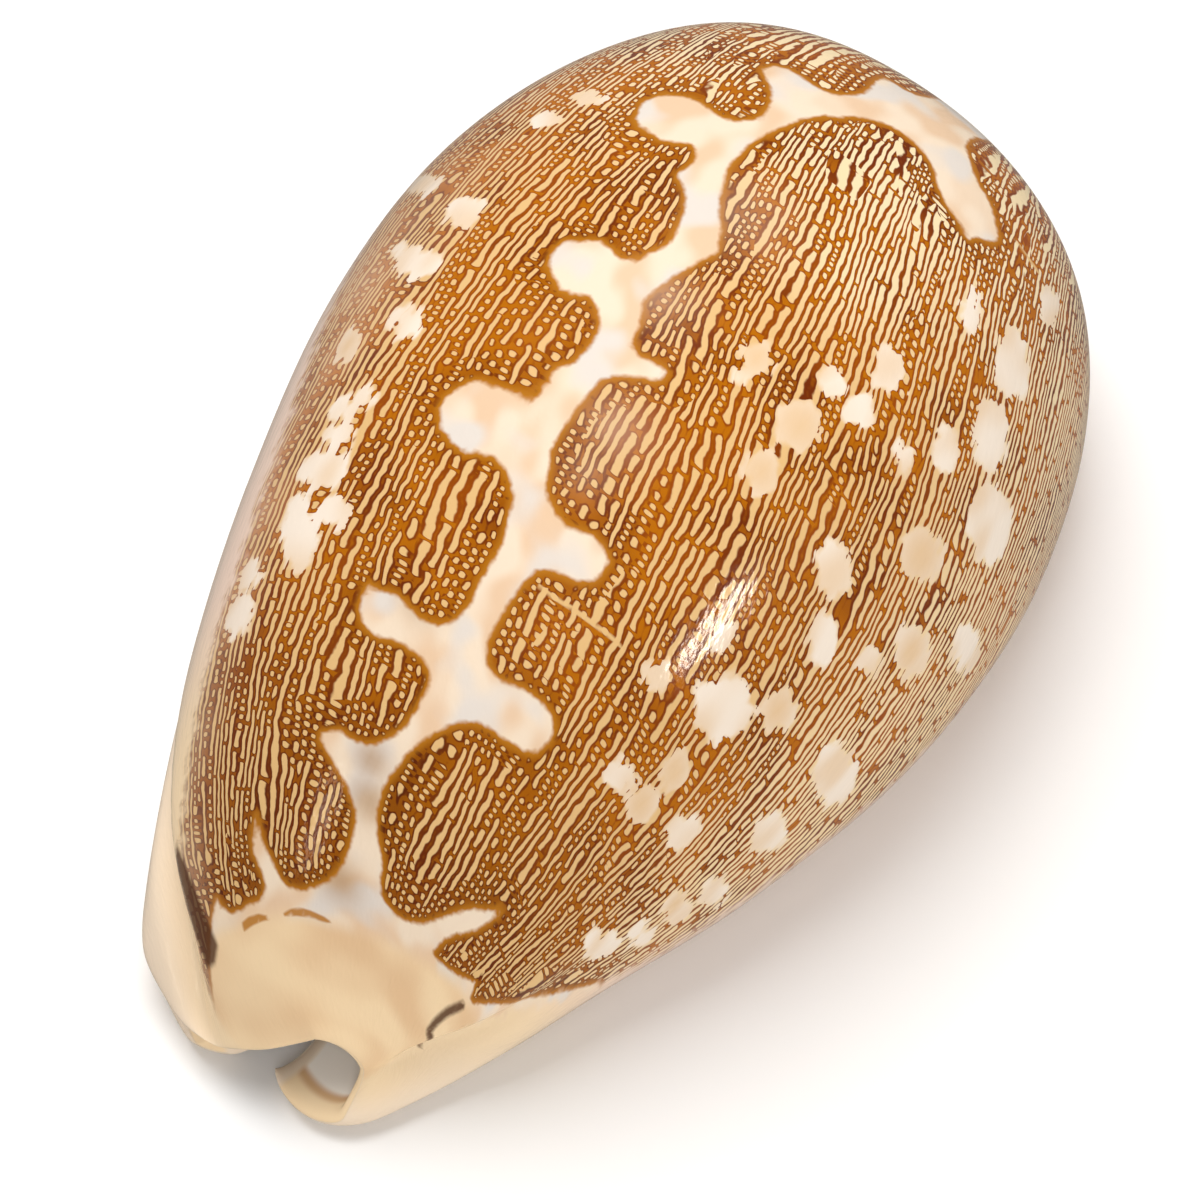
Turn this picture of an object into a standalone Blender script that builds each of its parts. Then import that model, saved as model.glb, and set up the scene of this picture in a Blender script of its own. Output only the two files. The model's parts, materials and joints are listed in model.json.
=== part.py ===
# Map cowrie shell: one hollow, toothed shell resting on its base.
# The shell lies along Y with its narrow front end, which has the open canal, towards -Y.
# The outer lip is on the -X side of the slit in the base and the columella lip on the +X side.
# Sizes are in millimetres and are turned into metres when the mesh is made.

from math import pi

import bmesh
import bpy
import numpy as np
from mathutils import Matrix, Vector

MM = 0.001

# How far forward and back the rows of the wall reach, before the rims are added
FRONT_ROW = -37.7
BACK_ROW = 37.3

# The places along the shell, as parts of a half turn that sweeps from the front end to the back
PLACES = (0.00, 0.06, 0.12, 0.20, 0.30, 0.40, 0.50, 0.60, 0.70, 0.80, 0.88, 0.94, 1.00)
LEFT_WIDTH = (6.0, 8.2, 9.7, 12.1, 15.8, 19.4, 22.4, 23.4, 21.0, 16.0, 10.6, 7.4, 4.8)
RIGHT_WIDTH = (8.2, 9.0, 10.0, 12.5, 16.2, 20.6, 23.4, 23.3, 20.6, 16.2, 11.8, 9.6, 8.2)
LOWER_ROUNDNESS = 2.9
LEFT_ROUNDNESS = (1.6, 1.75, 1.9, 2.05, 2.17, 2.17, 2.17, 2.17, 2.17, 2.17, 2.17, 2.17, 2.17)
RIGHT_ROUNDNESS = (2.17, 2.17, 2.17, 2.17, 2.17, 2.17, 2.17, 2.17, 2.17, 2.17, 2.17, 2.17, 2.17)
CREST_SHIFT = (4.8, 4.0, 2.6, 1.0, 0.2, 0.0, 0.0, 0.0, 0.0, 0.2, 0.6, 1.0, 1.4)
TOP_HEIGHT = (8.6, 9.4, 12.3, 19.4, 28.6, 35.4, 38.9, 38.4, 35.3, 29.0, 20.6, 13.6, 9.4)
LEFT_MARGIN = (2.4, 2.9, 4.0, 6.0, 8.3, 10.1, 11.0, 10.6, 9.7, 8.2, 6.3, 4.8, 3.6)
RIGHT_MARGIN = (2.0, 2.2, 2.9, 5.0, 8.0, 10.1, 11.0, 10.6, 9.7, 8.2, 6.3, 4.8, 3.6)
BASE_HEIGHT = (0.8, 0.5, 0.2, -0.1, -0.4, -0.5, -0.5, -0.5, -0.4, -0.1, 0.4, 0.8, 1.2)

# The slit: the line that runs down its middle, and its width between the faces of the lips
SLIT_MIDDLE = (0.75, 0.8, 0.5, -0.5, -1.6, -2.4, -2.8, -2.6, -1.6, 0.2, 1.8, 2.6, 3.0)
SLIT_WIDTH = (1.9, 2.8, 4.2, 5.6, 5.9, 5.5, 4.8, 4.2, 4.0, 3.8, 3.6, 3.6, 3.6)

# The wall's thickness: the height of each lip's face, the sides, and the back of the shell
LEFT_LIP_FACE = (2.4, 3.2, 3.6, 3.8, 4.2, 4.6, 4.6, 4.6, 4.4, 4.0, 3.6, 3.2, 2.8)
RIGHT_LIP_FACE = (1.8, 1.9, 2.4, 3.4, 5.0, 6.0, 6.4, 6.2, 5.4, 4.4, 3.6, 3.2, 2.8)
LEFT_WALL = (4.2, 5.8, 5.6, 4.6, 3.6, 3.2, 3.2, 3.2, 3.1, 2.9, 2.6, 2.4, 2.2)
RIGHT_WALL = (1.4, 1.8, 2.6, 3.2, 3.2, 3.2, 3.2, 3.2, 3.1, 2.9, 2.6, 2.4, 2.2)
BACK_WALL = (1.0, 1.1, 1.4, 1.6, 1.7, 1.7, 1.7, 1.7, 1.7, 1.6, 1.5, 1.3, 1.2)
LIP_ROUNDING = 1.2
LEAST_HOLLOW = 0.5
INNER_SIDE_LIFT = 0.12

# The rims at the two ends: their reach past their row as a part of half the wall, and the most
RIM_BULGE = 1.0
MOST_RIM = 1.3

# The canals at the two ends, where the back of the shell stops short of the lips
FRONT_NOTCH_SLANT = 0.58
FRONT_NOTCH_START = 1.4
BACK_NOTCH = 1.6
NOTCH_REACH = 0.26
NOTCH_LOW = 1.6
NOTCH_HIGH = 4.6
LIP_TIP_ROUNDING = 1.2

# The creases between the rolled edges and the neck: distance above the margin, width and depth
CREASE_PLACES = (0.00, 0.06, 0.12, 0.20, 0.30, 0.40, 1.00)
LEFT_CREASE_RISE = (3.4, 4.8, 5.2, 4.6, 4.2, 4.2, 4.2)
LEFT_CREASE_WIDTH = (1.2, 1.4, 1.3, 1.2, 1.2, 1.2, 1.2)
LEFT_CREASE_DEPTH = (0.3, 1.2, 2.3, 1.7, 0.3, 0.0, 0.0)
RIGHT_CREASE_RISE = (2.6, 2.6, 2.4, 2.2, 2.2, 2.2, 2.2)
RIGHT_CREASE_WIDTH = (1.0, 1.0, 1.0, 1.0, 1.0, 1.0, 1.0)
RIGHT_CREASE_DEPTH = (0.1, 0.6, 1.3, 0.9, 0.1, 0.0, 0.0)

# Mesh density: rows along the shell, and columns over each base, upper quarter, lip and rim
ROWS = 30
BASE_COLUMNS = 7
UPPER_COLUMNS = 11
LIP_COLUMNS = 4
RIM_ROWS = 2

# The teeth on the faces of the two lips: half sizes across, along and up, and their height
TEETH_PER_LIP = 34
TEETH_FROM = 0.17
TEETH_TO = 0.92
TOOTH_HALF_SIZE = (1.1, 0.5, 1.35)
TOOTH_SINK = 0.55
TOOTH_HEIGHT = 1.75

SHELL_COLOUR = (0.52, 0.27, 0.09, 1.0)
SHELL_ROUGHNESS = 0.18


def smooth(places, values, at):
    """The value at a place, on a smooth curve that passes through each of the values."""
    slopes = np.gradient(values, places)
    i = min(int(np.searchsorted(places, at, side="right")) - 1, len(places) - 2)
    gap = places[i + 1] - places[i]
    t = (at - places[i]) / gap
    rise = (3 - 2 * t) * t * t
    lean = t * (1 - t) * (slopes[i] * (1 - t) - slopes[i + 1] * t) * gap
    return values[i] + (values[i + 1] - values[i]) * rise + lean


def evenly(path, count):
    """The same path as count equal steps, with the distance from its start at each point."""
    steps = np.linalg.norm(np.diff(path, axis=0), axis=1)
    reach = np.concatenate([[0.0], np.cumsum(steps)])
    at = np.linspace(0.0, reach[-1], count + 1)
    return np.stack([np.interp(at, reach, side) for side in path.T], axis=1), at


def half_curve(start, wide, crest, top, margin, base, roundness, crease=(1.0, 1.0, 0.0)):
    """One side of a cross-section, from beside its lip round the margin up to the crest."""
    turn = np.linspace(0.0, pi / 2, 60)
    out = np.sin(turn)
    down = (1 - out**LOWER_ROUNDNESS) ** (1 / LOWER_ROUNDNESS)
    lower = np.stack([start + (wide - start) * out, margin - (margin - base) * down], axis=1)
    upper_x = crest + (wide - crest) * np.cos(turn) ** (2 / roundness)
    upper_z = margin + (top - margin) * np.sin(turn) ** (2 / roundness)
    lower, _ = evenly(lower, BASE_COLUMNS)
    upper, distance = evenly(np.stack([upper_x, upper_z], axis=1), UPPER_COLUMNS)
    ways = np.gradient(upper, axis=0)
    ways /= np.linalg.norm(ways, axis=1)[:, None]
    rise, width, depth = crease
    pressed = depth * np.exp(-(((distance - rise) / width) ** 2))
    upper += np.stack([-ways[:, 1], ways[:, 0]], axis=1) * pressed[:, None]
    return np.concatenate([lower, upper[1:]])


def lip_curve(lip, low, high):
    """The rounded face of a lip, between the underside of the shell and its inside."""
    turn = np.linspace(-pi / 2, pi / 2, LIP_COLUMNS + 1)[1:-1]
    x = lip + LIP_ROUNDING * (1 - np.cos(turn))
    return np.stack([x, (low + high) / 2 + (high - low) / 2 * np.sin(turn)], axis=1)


def along(place):
    """The Y of a place on the lips, before the tips are rounded."""
    return FRONT_ROW + (BACK_ROW - FRONT_ROW) * (1 - np.cos(pi * place)) / 2


def notch(x, z, off_middle, place):
    """How far the points of a row move along Y, to shape the canals and round the lips' tips."""
    front = np.clip(1 - (place / NOTCH_REACH) ** 2, 0.0, 1.0) ** 2
    back = np.clip(1 - ((1 - place) / NOTCH_REACH) ** 2, 0.0, 1.0) ** 2
    raised = np.clip((z - NOTCH_LOW) / (NOTCH_HIGH - NOTCH_LOW), 0.0, 1.0)
    raised = raised * raised * (3 - 2 * raised)
    tips = LIP_TIP_ROUNDING * off_middle**2 * (1 - raised)
    past = x - FRONT_NOTCH_START
    slant = FRONT_NOTCH_SLANT * (past + np.hypot(past, 1.0)) / 2
    return front * (tips + raised * slant) - back * (tips + raised * BACK_NOTCH)


def half_row(side, place):
    """Outer, lip and inner points of one side of the cross-section at a place."""
    outer_lip = side < 0
    wide = smooth(PLACES, LEFT_WIDTH if outer_lip else RIGHT_WIDTH, place)
    margin = smooth(PLACES, LEFT_MARGIN if outer_lip else RIGHT_MARGIN, place)
    face = smooth(PLACES, LEFT_LIP_FACE if outer_lip else RIGHT_LIP_FACE, place)
    wall = smooth(PLACES, LEFT_WALL if outer_lip else RIGHT_WALL, place)
    bend = smooth(PLACES, LEFT_ROUNDNESS if outer_lip else RIGHT_ROUNDNESS, place)
    rise = smooth(CREASE_PLACES, LEFT_CREASE_RISE if outer_lip else RIGHT_CREASE_RISE, place)
    width = smooth(CREASE_PLACES, LEFT_CREASE_WIDTH if outer_lip else RIGHT_CREASE_WIDTH, place)
    depth = smooth(CREASE_PLACES, LEFT_CREASE_DEPTH if outer_lip else RIGHT_CREASE_DEPTH, place)
    base = smooth(PLACES, BASE_HEIGHT, place)
    top = smooth(PLACES, TOP_HEIGHT, place)
    crest = side * smooth(PLACES, CREST_SHIFT, place)
    lip = side * smooth(PLACES, SLIT_MIDDLE, place) + smooth(PLACES, SLIT_WIDTH, place) / 2
    start = lip + LIP_ROUNDING
    inner_top = top - smooth(PLACES, BACK_WALL, place)
    inner_margin = max(margin, face + INNER_SIDE_LIFT * (top - face))
    inner_wide = max(wide - wall, start + LEAST_HOLLOW)

    crease = (rise, width, max(depth, 0.0))
    outer = half_curve(start, wide, crest, top, margin, base, bend, crease)
    inner = half_curve(start, inner_wide, crest, inner_top, inner_margin, face, bend)
    lips = lip_curve(lip, base, face)
    rows = []
    for points in (outer, lips, inner):
        off_middle = np.clip((2 * points[:, 0] - lip - wide) / (wide - lip), -1.0, 1.0)
        x, z = side * points[:, 0], np.maximum(points[:, 1], 0.0)
        rows.append(np.stack([x, along(place) + notch(x, z, off_middle, place), z], axis=1))
    return rows


def wall_loop(place):
    """The whole loop of a cross-section: over the outside, round one lip and back inside."""
    left_outer, left_lip, left_inner = half_row(-1, place)
    right_outer, right_lip, right_inner = half_row(1, place)
    outer = np.concatenate([left_outer, right_outer[-2::-1]])
    inner = np.concatenate([left_inner, right_inner[-2::-1]])
    return np.concatenate([outer, right_lip, inner[::-1], left_lip[::-1]])


def rim_loops(loop, way):
    """Loops that close the wall at an end, rounded from its outside over to its inside."""
    span = 2 * (BASE_COLUMNS + UPPER_COLUMNS) + 1
    partner = (2 * span + LIP_COLUMNS - 2 - np.arange(len(loop))) % len(loop)
    middle = (loop + loop[partner]) / 2
    for turn in np.linspace(0.0, pi / 2, RIM_ROWS + 1)[1:]:
        thick = np.linalg.norm(loop - middle, axis=1)
        reach = np.minimum(thick * RIM_BULGE, MOST_RIM) * np.sin(turn) * way
        closer = middle + (loop - middle) * np.cos(turn)
        closer[:, 1] += reach
        yield closer


def loft(loops):
    """A closed mesh through loops of equally many points."""
    shape = bmesh.new()
    verts = [[shape.verts.new(point * MM) for point in loop] for loop in loops]
    for near, far in zip(verts, verts[1:]):
        for a, b, c, d in zip(near, near[1:] + near[:1], far[1:] + far[:1], far):
            shape.faces.new((a, b, c, d))
    bmesh.ops.remove_doubles(shape, verts=shape.verts, dist=0.01 * MM)
    return shape


def shell_wall():
    """The wall of the shell, from the rim of the front canal to the rim of the back one."""
    loops = [wall_loop(place) for place in np.linspace(0.0, 1.0, ROWS + 1)]
    front = list(rim_loops(loops[0], -1.0))
    back = list(rim_loops(loops[-1], 1.0))
    return loft(front[::-1] + loops + back)


def lip_teeth():
    """The rows of teeth on the two lips, as small drawn-out balls sunk in the lips' faces."""
    shape = bmesh.new()
    for y in np.linspace(along(TEETH_FROM), along(TEETH_TO), TEETH_PER_LIP):
        place = float(np.arccos(1 - 2 * (y - FRONT_ROW) / (BACK_ROW - FRONT_ROW)) / pi)
        middle = smooth(PLACES, SLIT_MIDDLE, place)
        gap = smooth(PLACES, SLIT_WIDTH, place)
        for side in (-1, 1):
            x = middle + side * (gap / 2 + TOOTH_SINK)
            move = Matrix.Translation(Vector((x, y, TOOTH_HEIGHT)) * MM)
            size = Matrix.Diagonal(Vector((*TOOTH_HALF_SIZE, 1 / MM)) * MM)
            bmesh.ops.create_uvsphere(
                shape, u_segments=6, v_segments=4, radius=1.0, matrix=move @ size
            )
    return shape


def centre_on_base(shapes):
    """Move the shapes together, so that the first one's box stands centred on the origin."""
    corners = np.array([vert.co for vert in shapes[0].verts])
    low, high = corners.min(axis=0), corners.max(axis=0)
    move = Vector((-(low[0] + high[0]) / 2, -(low[1] + high[1]) / 2, -low[2]))
    for shape in shapes:
        bmesh.ops.translate(shape, vec=move, verts=shape.verts)


def add_object(name, shape, collection):
    mesh = bpy.data.meshes.new(name)
    shape.to_mesh(mesh)
    shape.free()
    obj = bpy.data.objects.new(name, mesh)
    collection.objects.link(obj)
    return obj


def shell_material():
    material = bpy.data.materials.new("shell_enamel")
    material.use_nodes = True
    surface = material.node_tree.nodes["Principled BSDF"]
    surface.inputs["Base Color"].default_value = SHELL_COLOUR
    surface.inputs["Roughness"].default_value = SHELL_ROUGHNESS
    surface.inputs["Metallic"].default_value = 0.0
    return material


def new_collection(name):
    collection = bpy.data.collections.new(name)
    bpy.context.scene.collection.children.link(collection)
    return collection


def main():
    for obj in list(bpy.data.objects):
        bpy.data.objects.remove(obj, do_unlink=True)
    wall_shape, teeth_shape = shell_wall(), lip_teeth()
    centre_on_base((wall_shape, teeth_shape))
    shell = add_object("cowrie_shell", wall_shape, new_collection("map_cowrie_shell"))
    teeth = add_object("lip_teeth_helper", teeth_shape, new_collection("helpers"))
    teeth.hide_render = True
    teeth.display_type = "WIRE"
    shell.data.materials.append(shell_material())
    shell.data.shade_smooth()
    shell.data.set_sharp_from_angle(angle=pi / 5)
    fuse = shell.modifiers.new("teeth", "BOOLEAN")
    fuse.operation = "UNION"
    fuse.solver = "EXACT"
    fuse.object = teeth


main()
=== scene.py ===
# Map cowrie shell on its base: a glossy hollow shell with toothed lips, brown lines and dots over cream,
# a pale branching line over its back and a plain cream neck above the open canal.
# Sizes are in millimetres until the mesh is made, with Z up and the narrow front end towards -Y.
import json
from math import cos, pi, radians, sin

import bpy
import numpy as np
from mathutils import Matrix, Vector
from mathutils.bvhtree import BVHTree

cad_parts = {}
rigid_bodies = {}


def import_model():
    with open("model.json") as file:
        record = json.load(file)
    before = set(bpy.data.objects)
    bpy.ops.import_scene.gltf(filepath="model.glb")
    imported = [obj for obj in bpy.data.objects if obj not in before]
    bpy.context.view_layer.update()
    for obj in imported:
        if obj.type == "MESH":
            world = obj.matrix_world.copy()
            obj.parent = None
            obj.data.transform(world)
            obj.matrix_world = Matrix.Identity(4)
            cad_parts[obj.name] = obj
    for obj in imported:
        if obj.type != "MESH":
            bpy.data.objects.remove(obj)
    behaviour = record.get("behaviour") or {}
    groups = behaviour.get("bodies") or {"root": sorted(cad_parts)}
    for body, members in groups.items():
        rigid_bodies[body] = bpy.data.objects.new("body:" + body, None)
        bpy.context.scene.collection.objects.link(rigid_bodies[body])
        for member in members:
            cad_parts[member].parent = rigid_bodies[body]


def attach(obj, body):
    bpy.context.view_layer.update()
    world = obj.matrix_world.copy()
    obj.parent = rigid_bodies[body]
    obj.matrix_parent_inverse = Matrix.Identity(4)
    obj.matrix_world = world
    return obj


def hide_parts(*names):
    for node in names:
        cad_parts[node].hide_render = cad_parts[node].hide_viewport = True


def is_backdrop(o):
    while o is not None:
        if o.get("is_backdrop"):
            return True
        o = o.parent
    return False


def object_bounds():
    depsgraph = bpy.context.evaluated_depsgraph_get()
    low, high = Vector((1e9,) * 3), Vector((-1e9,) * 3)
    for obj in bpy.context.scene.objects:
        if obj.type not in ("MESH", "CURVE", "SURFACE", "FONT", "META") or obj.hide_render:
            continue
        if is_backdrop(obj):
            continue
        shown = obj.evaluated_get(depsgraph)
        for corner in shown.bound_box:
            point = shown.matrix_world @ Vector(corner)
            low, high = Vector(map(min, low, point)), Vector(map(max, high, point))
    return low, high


for spare in list(bpy.data.objects):
    bpy.data.objects.remove(spare, do_unlink=True)
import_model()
cadLow, cadHigh = (np.array(corner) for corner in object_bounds())
print("CAD model loaded")

mm = 0.001
imageSize = 1200  # the photograph's width and height in pixels
leastGap = 1e-7  # metres added to gaps that are divided by
leastSquare = 1e-12  # square millimetres, the least squared length of an outline's stretch
leastStep = 1e-6  # millimetres between neighbouring points round a section

# The shell's sections from the front end, at place 0, to the back end, at place 1.
shellForm = {
    "frontRow": -37.7,
    "backRow": 37.3,
    "places": (0.00, 0.06, 0.12, 0.20, 0.30, 0.40, 0.50, 0.60, 0.70, 0.80, 0.88, 0.94, 1.00),
    "leftWidth": (6.0, 8.2, 9.7, 12.1, 15.8, 19.4, 22.4, 23.4, 21.0, 16.0, 10.6, 7.4, 4.8),
    "rightWidth": (8.2, 9.0, 10.0, 12.5, 16.2, 20.6, 23.4, 23.3, 20.6, 16.2, 11.8, 9.6, 8.2),
    "lowerRoundness": 2.9,
    "leftRoundness": (0.84, 1.08, 1.55, 1.95, 2.17, 2.17, 2.17, 2.17, 2.17, 2.17, 2.17, 2.17, 2.17),
    "rightRoundness": (2.17,) * 13,
    "crestShift": (4.8, 4.0, 2.6, 1.0, 0.2, 0.0, 0.0, 0.0, 0.0, 0.2, 0.6, 1.0, 1.4),
    "topHeight": (8.6, 9.4, 12.3, 19.4, 28.6, 35.4, 38.9, 38.4, 35.3, 29.0, 20.6, 13.6, 9.4),
    "leftMargin": (2.4, 2.9, 4.0, 6.0, 8.3, 10.1, 11.0, 10.6, 9.7, 8.2, 6.3, 4.8, 3.6),
    "rightMargin": (2.0, 2.2, 2.9, 5.0, 8.0, 10.1, 11.0, 10.6, 9.7, 8.2, 6.3, 4.8, 3.6),
    "baseHeight": (0.8, 0.5, 0.2, -0.1, -0.4, -0.5, -0.5, -0.5, -0.4, -0.1, 0.4, 0.8, 1.2),
    "slitMiddle": (0.75, 0.8, 0.5, -0.5, -1.6, -2.4, -2.8, -2.6, -1.6, 0.2, 1.8, 2.6, 3.0),
    "slitWidth": (1.9, 2.8, 4.2, 5.6, 5.9, 5.5, 4.8, 4.2, 4.0, 3.8, 3.6, 3.6, 3.6),
    "leftLipFace": (2.4, 3.2, 3.6, 3.8, 4.2, 4.6, 4.6, 4.6, 4.4, 4.0, 3.6, 3.2, 2.8),
    "rightLipFace": (1.8, 1.9, 2.4, 3.4, 5.0, 6.0, 6.4, 6.2, 5.4, 4.4, 3.6, 3.2, 2.8),
    "leftWall": (4.2, 5.8, 5.6, 4.6, 3.6, 3.2, 3.2, 3.2, 3.1, 2.9, 2.6, 2.4, 2.2),
    "rightWall": (1.4, 1.8, 2.6, 3.2, 3.2, 3.2, 3.2, 3.2, 3.1, 2.9, 2.6, 2.4, 2.2),
    "backWall": (1.0, 1.1, 1.4, 1.6, 1.7, 1.7, 1.7, 1.7, 1.7, 1.6, 1.5, 1.3, 1.2),
    "frontSlit": 0.5,  # where the slit parts the front rim
    "lipRounding": 1.2,
    "leastHollow": 0.5,
    "innerSideLift": 0.12,
    "rimBulge": 1.0,
    "mostRim": 1.45,
    "frontNotchSlant": 0.58,
    "frontNotchStart": 1.4,
    "backNotch": 1.6,
    "notchReach": 0.26,
    "notchLow": 1.6,
    "notchHigh": 4.6,
    "lipTipRounding": 1.2,
    "creasePlaces": (0.00, 0.06, 0.12, 0.20, 0.30, 0.40, 1.00),
    "leftCreaseRise": (3.4, 4.8, 5.2, 4.6, 4.2, 4.2, 4.2),
    "leftCreaseWidth": (1.2, 1.4, 1.3, 1.2, 1.2, 1.2, 1.2),
    "leftCreaseDepth": (0.5, 1.7, 2.6, 1.7, 0.3, 0.0, 0.0),
    "rightCreaseRise": (2.6, 2.6, 2.4, 2.2, 2.2, 2.2, 2.2),
    "rightCreaseWidth": (1.0, 1.0, 1.0, 1.0, 1.0, 1.0, 1.0),
    "rightCreaseDepth": (0.1, 0.6, 1.3, 0.9, 0.1, 0.0, 0.0),
    # the mesh's rows along the shell and columns round it
    "rows": 318,
    "endCrowding": 0.22,
    "endReach": 0.10,
    "smoothingPasses": 8,
    "baseColumns": 26,
    "baseCrowding": 1.35,
    "upperColumns": 44,
    "lipColumns": 10,
    "curveSamples": 260,
    "rowSamples": 4001,
    "rimRows": 6,
    "roundedRows": 34,
    "fullyRounded": 0.4,
    "roundingPasses": 60,
    "backRounding": 2.0,
}


def smooth(places, values, at):
    # a curve through the values at the places, without sharp bends
    slopes = np.gradient(values, places)
    i = np.clip(np.searchsorted(places, at, side="right") - 1, 0, len(places) - 2)
    places, values = np.array(places), np.array(values)
    gap = places[i + 1] - places[i]
    t = (at - places[i]) / gap
    rise = (3 - 2 * t) * t * t
    lean = t * (1 - t) * (slopes[i] * (1 - t) - slopes[i + 1] * t) * gap
    return values[i] + (values[i + 1] - values[i]) * rise + lean


def softStep(value, low, high):
    t = np.clip((value - low) / (high - low), 0.0, 1.0)
    return t * t * (3 - 2 * t)


def evenly(path, count, crowding=1.0):
    # evenly spaced points along a path, or closer together at its start, and their distances along it
    steps = np.linalg.norm(np.diff(path, axis=0), axis=1)
    reach = np.concatenate([[0.0], np.cumsum(steps)])
    at = reach[-1] * np.linspace(0.0, 1.0, count + 1) ** crowding
    return np.stack([np.interp(at, reach, side) for side in path.T], axis=1), at


def rowPlaces(form):
    # rows are evenly spaced along the shell, and closer together at its two ends
    t = np.linspace(0.0, 1.0, form["rowSamples"])
    pace = np.minimum(1.0, form["endCrowding"] + np.minimum(t, 1 - t) / form["endReach"])
    reach = np.concatenate([[0.0], np.cumsum((pace[1:] + pace[:-1]) / 2)])
    along = np.interp(np.linspace(0.0, 1.0, form["rows"] + 1), t, reach / reach[-1])
    return np.arccos(1 - 2 * along) / pi


def rowValues(form, places):
    values = {}
    for name, listed in form.items():
        if not isinstance(listed, tuple) or name in ("places", "creasePlaces"):
            continue
        stations = form["creasePlaces"] if "Crease" in name else form["places"]
        row = smooth(stations, listed, places)
        for _ in range(form["smoothingPasses"]):
            row[1:-1] = (row[:-2] + 2 * row[1:-1] + row[2:]) / 4
        values[name] = row
    return values


def halfCurve(form, start, wide, crest, top, margin, base, roundness, crease=(1.0, 1.0, 0.0)):
    # one side of a section, from beside its lip round the margin up to the crest
    turn = np.linspace(0.0, pi / 2, form["curveSamples"])
    out = np.sin(turn)
    lowPower = form["lowerRoundness"]
    down = (1 - out**lowPower) ** (1 / lowPower)
    lower = np.stack([start + (wide - start) * out, margin - (margin - base) * down], axis=1)
    upperX = crest + (wide - crest) * np.cos(turn) ** (2 / roundness)
    upperZ = margin + (top - margin) * np.sin(turn) ** (2 / roundness)
    lower, _ = evenly(lower, form["baseColumns"], form["baseCrowding"])
    upper, distance = evenly(np.stack([upperX, upperZ], axis=1), form["upperColumns"])
    ways = np.gradient(upper, axis=0)
    ways /= np.linalg.norm(ways, axis=1)[:, None]
    rise, width, depth = crease
    pressed = depth * np.exp(-(((distance - rise) / width) ** 2))
    upper += np.stack([-ways[:, 1], ways[:, 0]], axis=1) * pressed[:, None]
    return np.concatenate([lower, upper[1:]])


def notch(form, x, z, offMiddle, place):
    # how far points move along Y, which shapes the canals and rounds the tips of the lips
    front = np.clip(1 - (place / form["notchReach"]) ** 2, 0.0, 1.0) ** 2
    back = np.clip(1 - ((1 - place) / form["notchReach"]) ** 2, 0.0, 1.0) ** 2
    raised = softStep(z, form["notchLow"], form["notchHigh"])
    tips = form["lipTipRounding"] * offMiddle**2 * (1 - raised)
    past = x - form["frontNotchStart"]
    slant = form["frontNotchSlant"] * (past + np.hypot(past, 1.0)) / 2
    return front * (tips + raised * slant) - back * (tips + raised * form["backNotch"])


def halfRow(form, value, side, place):
    # one side of a section: the outside, the lip and the inside
    name = "left" if side < 0 else "right"
    wide, margin, face = value[name + "Width"], value[name + "Margin"], value[name + "LipFace"]
    bend, wall, top = value[name + "Roundness"], value[name + "Wall"], value["topHeight"]
    rise, width = value[name + "CreaseRise"], value[name + "CreaseWidth"]
    crease = (rise, width, max(value[name + "CreaseDepth"], 0.0))
    crest = side * value["crestShift"]
    lip = side * value["slitMiddle"] + value["slitWidth"] / 2
    start = lip + form["lipRounding"]
    innerTop = top - value["backWall"]
    innerMargin = max(margin, face + form["innerSideLift"] * (top - face))
    innerWide = max(wide - wall, start + form["leastHollow"])
    base = value["baseHeight"]
    outer = halfCurve(form, start, wide, crest, top, margin, base, bend, crease)
    inner = halfCurve(form, start, innerWide, crest, innerTop, innerMargin, face, bend)
    turn = np.linspace(-pi / 2, pi / 2, form["lipColumns"] + 1)[1:-1]
    lipX = lip + form["lipRounding"] * (1 - np.cos(turn))
    lips = np.stack([lipX, (base + face) / 2 + (face - base) / 2 * np.sin(turn)], axis=1)
    middleY = form["frontRow"] + (form["backRow"] - form["frontRow"]) * (1 - cos(pi * place)) / 2
    rows = []
    for points in (outer, lips, inner):
        offMiddle = np.clip((2 * points[:, 0] - lip - wide) / (wide - lip), -1.0, 1.0)
        x, z = side * points[:, 0], np.maximum(points[:, 1], 0.0)
        rows.append(np.stack([x, middleY + notch(form, x, z, offMiddle, place), z], axis=1))
    return rows


def wallRows(form):
    places = rowPlaces(form)
    values = rowValues(form, places)
    loops = []
    for i, place in enumerate(places):
        value = {name: row[i] for name, row in values.items()}
        leftOuter, leftLip, leftInner = halfRow(form, value, -1, place)
        rightOuter, rightLip, rightInner = halfRow(form, value, 1, place)
        outer = np.concatenate([leftOuter, rightOuter[-2::-1]])
        inner = np.concatenate([leftInner, rightInner[-2::-1]])
        loops.append(np.concatenate([outer, rightLip, inner[::-1], leftLip[::-1]]))
    return np.array(loops)


def rimRows(form, loop, way, partner):
    # rounds an end of the wall, from a section to the line midway between its outside and inside
    middle = (loop + loop[partner]) / 2
    thick = np.linalg.norm(loop - middle, axis=1)
    rows = []
    for turn in np.linspace(0.0, pi / 2, form["rimRows"] + 1)[1:]:
        closer = middle + (loop - middle) * cos(turn)
        closer[:, 1] += np.minimum(thick * form["rimBulge"], form["mostRim"]) * sin(turn) * way
        rows.append(closer)
    return rows


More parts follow.
